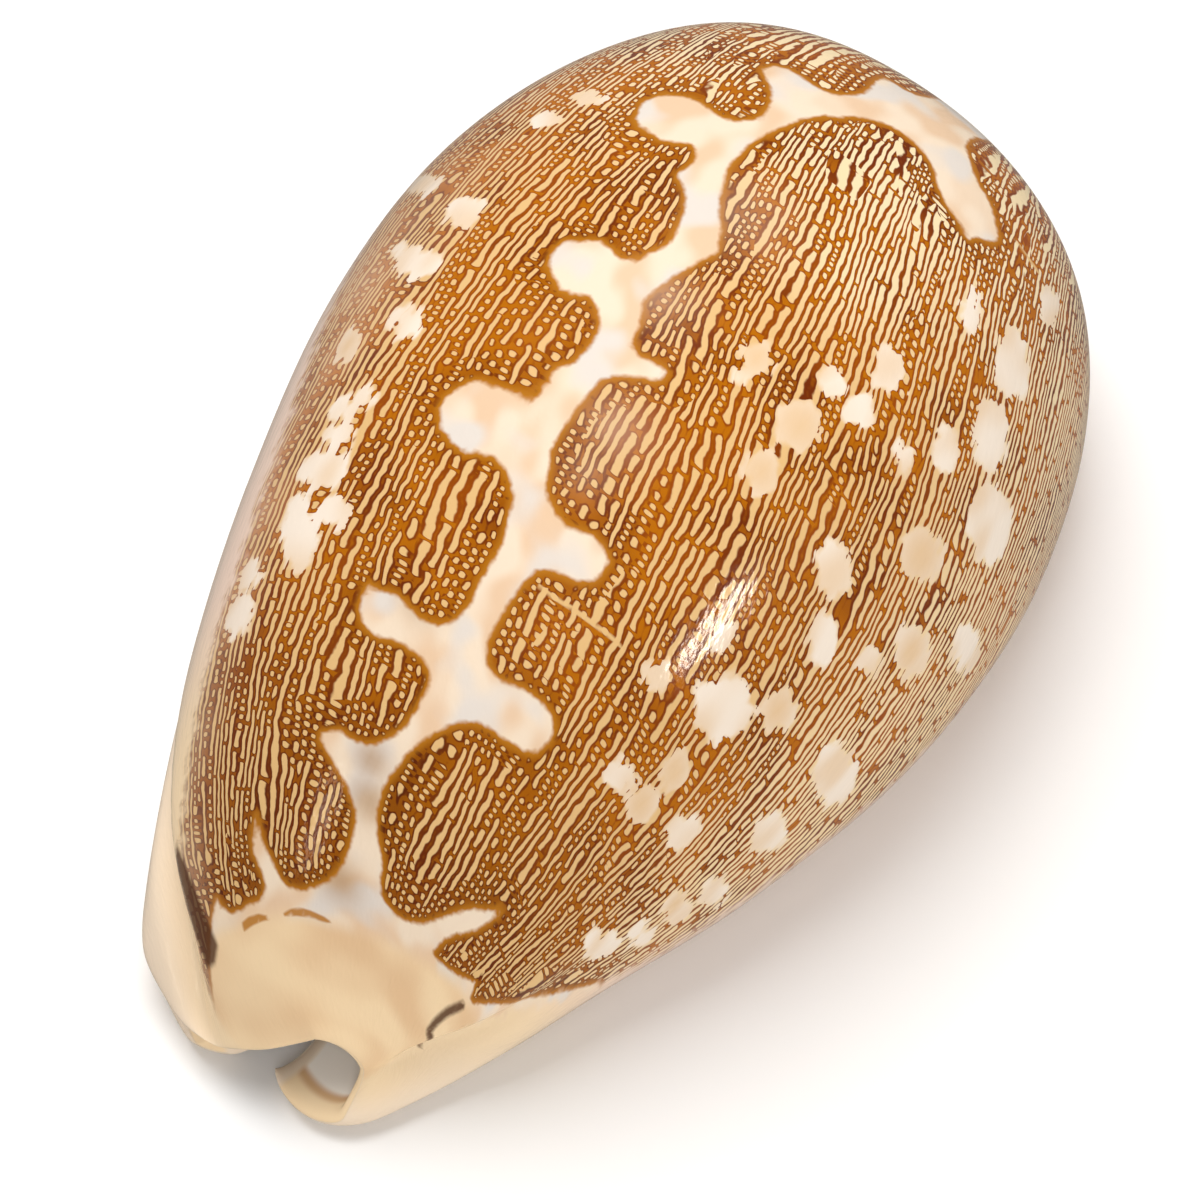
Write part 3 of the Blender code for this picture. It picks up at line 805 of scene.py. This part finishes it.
class Graph:
    # adds nodes to one tree
    def __init__(self, tree):
        self.tree = tree

    def node(self, kind, settings=None, **inputs):
        made = self.tree.nodes.new(kind)
        for name, value in (settings or {}).items():
            setattr(made, name, value)
        for name, value in inputs.items():
            self.feed(made.inputs[name], value)
        return made

    def feed(self, socket, value):
        if isinstance(value, Term):
            self.tree.links.new(value.socket, socket)
        else:
            socket.default_value = value

    def out(self, node, name=0):
        return Term(self.tree, node.outputs[name])

    def parts(self, vector):
        split = self.node("ShaderNodeSeparateXYZ", Vector=vector)
        return [Term(self.tree, socket) for socket in split.outputs]

    def attribute(self, name, kind="Vector"):
        return self.out(self.node("ShaderNodeAttribute", {"attribute_name": name}), kind)

    def step(self, value, low, high, start=0.0, end=1.0):
        made = self.node("ShaderNodeMapRange", {"interpolation_type": "SMOOTHSTEP"}, Value=value)
        for name, bound in (("From Min", low), ("From Max", high), ("To Min", start), ("To Max", end)):
            made.inputs[name].default_value = bound
        return self.out(made)

    def noise(self, x, y, z=0.0, detail=0.0, roughness=0.5):
        place = self.node("ShaderNodeCombineXYZ", X=x, Y=y, Z=z)
        made = self.node("ShaderNodeTexNoise", Vector=self.out(place), Scale=1.0, Detail=detail,
                         Roughness=roughness)
        return self.out(made, "Fac")

    def chance(self, value):
        return self.out(self.node("ShaderNodeTexWhiteNoise", {"noise_dimensions": "1D"}, W=value), "Value")

    def blend(self, first, second, share):
        made = self.node("ShaderNodeMix", {"data_type": "RGBA"})
        self.feed(made.inputs["Factor"], share)
        for socket, value in ((made.inputs[6], first), (made.inputs[7], second)):
            self.feed(socket, value if isinstance(value, Term) else tone(value))
        return Term(self.tree, made.outputs[2])


def tone(code):
    # a screen colour written as six hex digits, as the linear light that Blender works in
    parts = [int(code[i:i + 2], 16) / 255 for i in (0, 2, 4)]
    return (*(p / 12.92 if p <= 0.04045 else ((p + 0.055) / 1.055) ** 2.4 for p in parts), 1.0)


def addTeeth(piece, settings, material):
    # a modifier that raises the teeth from the values stored on the mesh
    tree = bpy.data.node_groups.new("lipTeeth", "GeometryNodeTree")
    tree.interface.new_socket("Geometry", in_out="INPUT", socket_type="NodeSocketGeometry")
    names = {"Tooth spacing": "spacing", "Tooth height": "height", "Groove depth": "depth"}
    sockets = {}
    for label in names:
        sockets[label] = tree.interface.new_socket(label, in_out="INPUT", socket_type="NodeSocketFloat")
    tree.interface.new_socket("Geometry", in_out="OUTPUT", socket_type="NodeSocketGeometry")
    graph = Graph(tree)
    entry, end = graph.node("NodeGroupInput"), graph.node("NodeGroupOutput")

    def stored(name):
        made = graph.node("GeometryNodeInputNamedAttribute", {"data_type": "FLOAT"})
        made.inputs["Name"].default_value = name
        return graph.out(made, "Attribute")

    given = {name: graph.out(entry, label) for label, name in names.items()}
    turn = stored("toothPlace") / given["spacing"] * (2 * pi)
    ridge = turn.math("COSINE") * 0.5 + 0.5
    raised = ridge * given["height"] * stored("toothFace")
    sunk = (1 - ridge) * given["depth"]
    offset = (raised - sunk) * stored("toothStrength") * mm
    normal = graph.out(graph.node("GeometryNodeInputNormal"))
    away = graph.node("ShaderNodeVectorMath", {"operation": "SCALE"}, Vector=normal)
    graph.feed(away.inputs["Scale"], offset)
    whole = graph.out(entry, "Geometry")
    moved = graph.node("GeometryNodeSetPosition", Geometry=whole, Offset=graph.out(away))
    real = graph.node("GeometryNodeRealizeInstances", Geometry=graph.out(moved))
    dressed = graph.node("GeometryNodeSetMaterial", Geometry=graph.out(real), Material=material)
    tree.links.new(dressed.outputs[0], end.inputs[0])
    modifier = piece.modifiers.new("lipTeeth", "NODES")
    modifier.node_group = tree
    for label, name in names.items():
        modifier[sockets[label].identifier] = float(settings[name])
    solid = bpy.data.meshes.new_from_object(piece.evaluated_get(bpy.context.evaluated_depsgraph_get()))
    for point in solid.vertices:
        point.co.z = max(point.co.z, 0.0)
    piece.modifiers.remove(modifier)
    piece.data = solid


enamel = {
    # colours as a screen shows them
    "colours": {
        "darkBrown": "6C2800", "edgeBrown": "924400", "ochre": "B26600", "redBrown": "4A1600",
        # farDash: the dash colour towards the back end, partly its own tone and partly painted light
        "lineOchre": "B4741A", "dash": "DEB67C", "farDash": "F0DAB0", "spot": "F0E2D2", "spotTan": "DFBC90",
        "milky": "D6BCA4", "line": "EEDAC2", "linePeach": "E2BE9A", "lineBlue": "E0D6CC",
        "lineShade": "B08E6C", "neck": "F3D7AE", "neckTan": "E4C096", "margin": "F0D6B0", "band": "EBD0BE",
        # crease: a dark brown that is partly the shell's own and partly painted shade in the crease and the
        # slit
        "base": "EEDAC2", "inside": "FFF6EA", "hollow": "7C5328", "lipLine": "B06A1E", "crease": "4E2608",
    # hollow is painted shade: the dark brown deep inside the shell behind the rims
    },
    # noises by name: cells for each line or millimetre across and along, layer, detail and roughness
    "noises": {
        "ending": (0.35, 0.25, 5.0),
        "wander": (0.25, 0.12, 1.0),
        "fineWander": (0.7, 1.1, 2.0),
        "dotPatches": (0.12, 0.12, 8.0),
        "rough": (1.0, 1.9, 4.0, 1.0, 0.6),
        "spotEdge": (0.9, 0.7, 21.0, 1.0),
        "thin": (0.13, 0.1, 23.0, 1.0),
        "brown": (0.16, 0.16, 6.0, 2.0),
        "spots": (0.35, 0.25, 7.0),
        "peach": (0.3, 0.22, 9.0, 1.0),
        "blue": (0.25, 0.25, 12.0, 1.0),
        "neck": (0.15, 0.2, 14.0, 1.0),
        "lineEdge": (1.8, 1.8, 10.0, 1.0),
        "marginEdge": (0.9, 0.9, 11.0, 2.0),
        "grain": (1.1, 0.9, 31.0, 2.0),
    },
    # how much some of these noises sway a value
    "sways": {
        "ending": 0.5, "wander": 2.4, "fineWander": 0.55, "rough": 1.25, "spotEdge": 1.6, "thin": 0.9,
        "lineEdge": 0.32, "marginEdge": 0.12,
    },
    # fades by name: where each starts and ends, and its values there when they aren't 0 and 1
    "fades": {
        "gaps": (0.05, 0.22, -2.3, 0.0),
        "rim": (0.08, 0.6, -2.6, 0.0),
        "spotRise": (-0.3, 0.4, 6.0, 0.0),
        "pale": (-0.34, 0.40),
        "wide": (-1.5, -0.7, 1.0, 0.0),
        "edgeBrown": (0.35, 0.6),
        "ochre": (0.30, 0.55, 0.45, 1.0),
        "redByLine": (0.3, 2.6, 0.4, 0.0),
        # redder and darker towards the front end: partly the shell's own tone, partly painted shade
        "redByNeck": (-36.0, -16.0, 0.75, 0.0),
        "redClouds": (0.3, 0.6, 0.4, 1.0),
        "ochreRim": (0.0, 0.6, 0.85, 0.0),
        "spotClouds": (0.3, 0.75, 0.0, 0.6),
        # paler dashes towards the back end: partly their own tone, partly painted light
        "farDash": (4.0, 26.0),
        "spot": (-0.1, 0.5, 1.0, 0.0),
        "scar": (0.08, 0.2, 0.95, 0.0),
        "milkyClouds": (0.3, 0.7, 0.45, 1.0),
        "peach": (0.42, 0.62),
        "blue": (0.48, 0.66),
        "neckTan": (0.35, 0.7),
        "neck": (-0.9, 0.9, 1.0, 0.0),
        "arc": (0.0, 0.2, 0.9, 0.0),
        "line": (-0.18, 0.15, 1.0, 0.0),
        "band": (-34.0, -20.0),
        "base": (0.05, 0.4),
        "margin": (-0.03, 0.05),
        # crease: painted shade, over the shell's own brown, in the left crease and the right slit
        "crease": (0.05, 0.5, 0.9, 0.0),
        "deepFront": (-0.15, 0.45),
        "deepBack": (1.2, 1.8),
        # painted shade that deepens the lining from 6 to 12 mm past the front rim
        "hollow": (6.0, 12.0, 0.0, 0.35),
        "lipLine": (0.05, 0.6, 0.5, 0.0),
    },
    "stretch": 0.17,  # stretches of dashes or of dots to the millimetre
    "dotsBelow": -0.03,
    "dotClouds": 0.5,
    "openDots": 0.3,
    "leastPace": 0.07,  # dashes to the millimetre
    "morePace": 0.5,
    "paceBend": 1.6,
    "dotPace": 1.55,
    "wobble": (0.35, 3.3, 3.0),
    "wobbleSize": 3.0,
    "spotSteps": 0.5,  # how far a spot's edge steps from line to line
    "roughRim": 0.12,
    "roughSpot": 0.2,
    "roughCrease": 0.08,
    "wideRed": 0.4,
    "paleWidth": -0.05,
    "openWidth": 0.25,
    "mostRed": 0.85,
    "spotTan": 0.9,
    "openFarDash": 0.7,
    "peach": 0.8,
    "shade": 0.75,
    "rightRim": 2.0,  # millimetres of the rims' inner sides that look like the outside
    "leftRim": 3.8,
    "lipLinePlace": 1.9,
    "roughness": 0.13,
    "refraction": 1.33,
    "bumpStrength": 0.6,
    "bumpHeight": 0.00005,
}


class Enamel(Graph):
    # brown lines, dashes and dots over cream, with the pale line, the spots and the plain cream ends
    def __init__(self, tree, settings):
        super().__init__(tree)
        self.settings = settings
        self.count, self.run, self.side = self.parts(self.attribute("linePlace"))
        self.lineGap, self.spotGap, self.neckGap = self.parts(self.attribute("regions"))
        self.scarGap, self.arcGap, self.creaseShadeGap = self.parts(self.attribute("marks"))
        self.milky, self.past, self.inside = self.parts(self.attribute("skin"))
        self.dots, self.opened, self.crowd = self.parts(self.attribute("tones"))
        self.frontGap, self.backGap, half = self.parts(self.attribute("rims"))
        self.shaded = self.attribute("lineShade", "Fac")
        self.tanned = self.attribute("spotTan", "Fac")
        self.rightHalf = half.math("GREATER_THAN", 0.0)
        self.rough = self.sway("rough", self.count)
        self.brownClouds = self.cloud("brown", self.side)

    def cloud(self, name, across):
        acrossCells, alongCells, *rest = self.settings["noises"][name]
        return self.noise(across * acrossCells, self.run * alongCells, *rest)

    def sway(self, name, across):
        return (self.cloud(name, across) - 0.5) * self.settings["sways"][name]

    def fade(self, name, value):
        return self.step(value, *self.settings["fades"][name])

    def paint(self, under, over, share):
        # one colour over another, each a value or the name of a colour
        colours = self.settings["colours"]
        under, over = (colours[value] if isinstance(value, str) else value for value in (under, over))
        return self.blend(under, over, share)

    def dashHeight(self, column, coarse):
        # long dashes or dots, parted by short gaps, with a seed for each line and each stretch of it
        settings = self.settings
        seed = column * 1.37 + coarse * 53.0
        stretch = (self.run * settings["stretch"] + self.chance(seed) * 7.0).math("FLOOR")
        pick = self.chance(seed * 3.1 + stretch * 17.3)
        clouds = self.cloud("dotPatches", self.side) * settings["dotClouds"]
        leaning = pick - self.dots - clouds + self.opened * settings["openDots"]
        asDots = leaning.math("LESS_THAN", settings["dotsBelow"])
        more = self.chance(seed * 5.7 + stretch * 3.9).math("POWER", settings["paceBend"])
        pace = settings["leastPace"] + more * settings["morePace"]
        pace = pace * (1 - asDots) + asDots * settings["dotPace"]
        runCells, seedCells, layer = settings["wobble"]
        wobble = self.noise(self.run * runCells, seed * seedCells, layer) * pace * settings["wobbleSize"]
        phase = self.run * pace + wobble + pick * 9.0
        return self.fade("gaps", (phase.math("FRACT") - 0.5).math("ABSOLUTE") / pace)

    def patternHeight(self):
        # high on pale dashes, dots and spots and low on brown, with how far each point lies from a spot
        settings = self.settings
        coarse = (self.crowd + self.sway("ending", self.count)).math("GREATER_THAN", 1.0)
        number = self.count * (1 - coarse * 0.5)  # every second line ends where they crowd together
        placed = number + (self.sway("wander", self.count) + self.sway("fineWander", self.count))
        column = (placed + 0.5).math("FLOOR")
        wave = ((placed - column) * (2 * pi)).math("COSINE")
        rim = self.fade("rim", self.lineGap + self.rough * settings["roughRim"])
        spotGap = self.spotGap + (self.chance(column) - 0.5) * settings["spotSteps"]
        spotGap = spotGap + self.rough * settings["roughSpot"] + self.sway("spotEdge", self.side)
        height = wave - settings["paleWidth"] - self.sway("thin", self.side)
        height = height + self.dashHeight(column, coarse) + self.rough + rim
        return height + self.fade("spotRise", spotGap) + self.opened * settings["openWidth"], spotGap

    def brown(self, height):
        # darkest beside the pale marks, ochre where it is wide, and reddest and darkest towards the front
        # end near the neck, partly its own tone and partly painted shade where less light falls
        wide = self.fade("wide", height)
        skin = self.paint("darkBrown", "edgeBrown", self.fade("edgeBrown", self.brownClouds))
        skin = self.paint(skin, "ochre", wide * self.fade("ochre", self.brownClouds))
        # towards the front end the browns darken: partly their own red, partly painted shade
        red = self.fade("redByLine", self.lineGap) + self.fade("redByNeck", self.run)
        red = red.math("MINIMUM", self.settings["mostRed"]) * self.fade("redClouds", self.brownClouds)
        skin = self.paint(skin, "redBrown", red * (1 - wide * self.settings["wideRed"]))
        return self.paint(skin, "lineOchre", self.fade("ochreRim", self.lineGap))

    def pale(self, spotGap):
        # cream dashes, paler towards the back end, partly their own tone and partly painted light where the
        # back is lit more, paler on the right flank, and spots with tan clouds
        clouds = self.fade("spotClouds", self.cloud("spots", self.side))
        spot = self.paint("spot", "spotTan", clouds.math("MAXIMUM", self.tanned * self.settings["spotTan"]))
        # paler towards the back end: partly the shell's own tone, partly painted light
        dash = self.paint("dash", "farDash", self.fade("farDash", self.run))
        flank = self.opened.math("MINIMUM", 1.0) * self.settings["openFarDash"]
        return self.paint(self.paint(dash, "farDash", flank), spot, self.fade("spot", spotGap))

    def pattern(self):
        height, spotGap = self.patternHeight()
        skin = self.paint(self.brown(height), self.pale(spotGap), self.fade("pale", height))
        skin = self.paint(skin, "dash", self.fade("scar", self.scarGap))
        return self.paint(skin, "milky", self.milky * self.fade("milkyClouds", self.brownClouds))

    def paleLine(self):
        # the pale line, clouded with peach and blue, and the plain neck that it runs into
        peach = self.fade("peach", self.cloud("peach", self.side)) * self.settings["peach"]
        line = self.paint("line", "linePeach", peach)
        line = self.paint(line, "lineBlue", self.fade("blue", self.cloud("blue", self.side)))
        line = self.paint(line, "lineShade", self.shaded * self.settings["shade"])
        neck = self.paint("neck", "neckTan", self.fade("neckTan", self.cloud("neck", self.side)))
        line = self.paint(line, neck, self.fade("neck", self.neckGap))
        return self.paint(line, "lineOchre", self.fade("arc", self.arcGap))

    def outside(self):
        # the pale line lies over the pattern, and the plain margins and base lie over both
        edge = self.lineGap + self.sway("lineEdge", self.side)
        skin = self.paint(self.pattern(), self.paleLine(), self.fade("line", edge))
        margin = self.paint("margin", "band", self.fade("band", self.run))
        plain = self.paint(margin, "base", self.fade("base", self.past))
        plainEdge = self.past + self.sway("marginEdge", self.side)
        skin = self.paint(skin, plain, self.fade("margin", plainEdge))
        # painted shade darkens the left crease and the right slit, over their own brown
        creaseShadeEdge = self.creaseShadeGap + self.rough * self.settings["roughCrease"]
        return self.paint(skin, "crease", self.fade("crease", creaseShadeEdge))

    def skin(self):
        # the outside, the lining behind the rims, darkened by painted shade deeper into the hollow, and the
        # right lip's rolled edge
        settings = self.settings
        rim = settings["rightRim"] + (1 - self.rightHalf) * (settings["leftRim"] - settings["rightRim"])
        deep = self.inside * self.fade("deepFront", self.frontGap - rim)
        deep = deep * self.fade("deepBack", self.backGap)
        skin = self.paint(self.outside(), "neck", self.inside)
        # painted shade: the lining darkens towards the hollow deeper inside
        lining = self.paint("inside", "hollow", self.fade("hollow", self.frontGap))
        skin = self.paint(skin, lining, deep)
        lipLine = self.fade("lipLine", (self.frontGap - settings["lipLinePlace"]).math("ABSOLUTE"))
        return self.paint(skin, "lipLine", lipLine * self.inside * self.rightHalf)


def enamelMaterial(name, settings):
    material = bpy.data.materials.new(name)
    material.use_nodes = True
    surface = material.node_tree.nodes["Principled BSDF"]
    coat = Enamel(material.node_tree, settings)
    grain = coat.cloud("grain", coat.count)
    bump = coat.node("ShaderNodeBump", Height=grain, Strength=settings["bumpStrength"],
                     Distance=settings["bumpHeight"])
    coat.feed(surface.inputs["Base Color"], coat.skin())
    coat.feed(surface.inputs["Roughness"], settings["roughness"])
    coat.feed(surface.inputs["IOR"], settings["refraction"])
    coat.feed(surface.inputs["Normal"], coat.out(bump, "Normal"))
    return material


cowrieEnamel = enamelMaterial("cowrieEnamel", enamel)
addTeeth(shell, teeth, cowrieEnamel)
print("Teeth raised and enamel made")

# Studio light: a narrow window at the right for the streak on the back and a weak lamp in front, with broad
# soft lamps in front, at the right and overhead that the enamel doesn't mirror. Places are in metres.
lamps = {
    "sideWindow": {"place": (0.466, -0.103, 0.167), "size": (0.11, 0.026), "power": 0.75, "turn": 38},
    "frontLamp": {"place": (-0.14, -0.44, 0.08), "size": (0.02, 0.10), "power": 0.06},
    "frontFill": {"place": (0.15, -0.27, 0.35), "size": (0.25, 0.25), "power": 0.45, "soft": True},
    "rightFill": {"place": (0.45, 0.0, 0.09), "size": (0.3, 0.2), "power": 0.65, "soft": True},
    "overhead": {"place": (-0.16, 0.10, 0.55), "size": (0.42, 0.42), "power": 3.3, "soft": True},
}
studio = {
    "aim": (0.0, 0.0, 0.015),
    "softColour": (1.0, 1.0, 1.0),
    "windowColour": (1.0, 0.9, 0.76),
    "surround": (1.0, 0.93, 0.85, 1.0),
    "surroundStrength": 0.3,
}


def addLamp(name, settings):
    lamp = bpy.data.lights.new(name, "AREA")
    lamp.shape, lamp.energy = "RECTANGLE", settings["power"]
    lamp.size, lamp.size_y = settings["size"]
    soft = settings.get("soft", False)
    lamp.color = studio["softColour"] if soft else studio["windowColour"]
    piece = bpy.data.objects.new(name, lamp)
    piece.location = settings["place"]
    aimed = (Vector(studio["aim"]) - Vector(settings["place"])).to_track_quat("-Z", "Y").to_matrix()
    piece.rotation_euler = (aimed @ Matrix.Rotation(radians(settings.get("turn", 0)), 3, "Z")).to_euler()
    # soft lamps only light the skin, and the others only show as reflections in it
    piece.visible_glossy = not soft
    piece.visible_diffuse = soft
    bpy.context.scene.collection.objects.link(piece)


for lampName, lampSettings in lamps.items():
    addLamp(lampName, lampSettings)
world = bpy.data.worlds.new("studio")
bpy.context.scene.world = world
world.use_nodes = True
background = world.node_tree.nodes["Background"]
background.inputs["Color"].default_value = studio["surround"]
background.inputs["Strength"].default_value = studio["surroundStrength"]
bpy.context.scene.view_settings.view_transform = "Standard"
print("Studio lit")

paleFloor = {"reach": 3.0, "drop": 0.00002, "colour": (0.93, 0.93, 0.93, 1.0), "roughness": 0.9}


def layFloor(settings):
    corners = ((-1, -1), (1, -1), (1, 1), (-1, 1))
    size, height = settings["reach"], -settings["drop"]
    mesh = bpy.data.meshes.new("floor")
    mesh.from_pydata([(x * size, y * size, height) for x, y in corners], [], [(0, 1, 2, 3)])
    paint = bpy.data.materials.new("paleFloor")
    paint.use_nodes = True
    surface = paint.node_tree.nodes["Principled BSDF"]
    surface.inputs["Base Color"].default_value = settings["colour"]
    surface.inputs["Roughness"].default_value = settings["roughness"]
    mesh.materials.append(paint)
    piece = bpy.data.objects.new("floor", mesh)
    piece.visible_glossy = False  # so that the pale floor doesn't wash out the flanks
    bpy.context.scene.collection.objects.link(piece)
    return piece


floor = layFloor(paleFloor)
floor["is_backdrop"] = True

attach(shell, "root")
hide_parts("cowrie_shell")
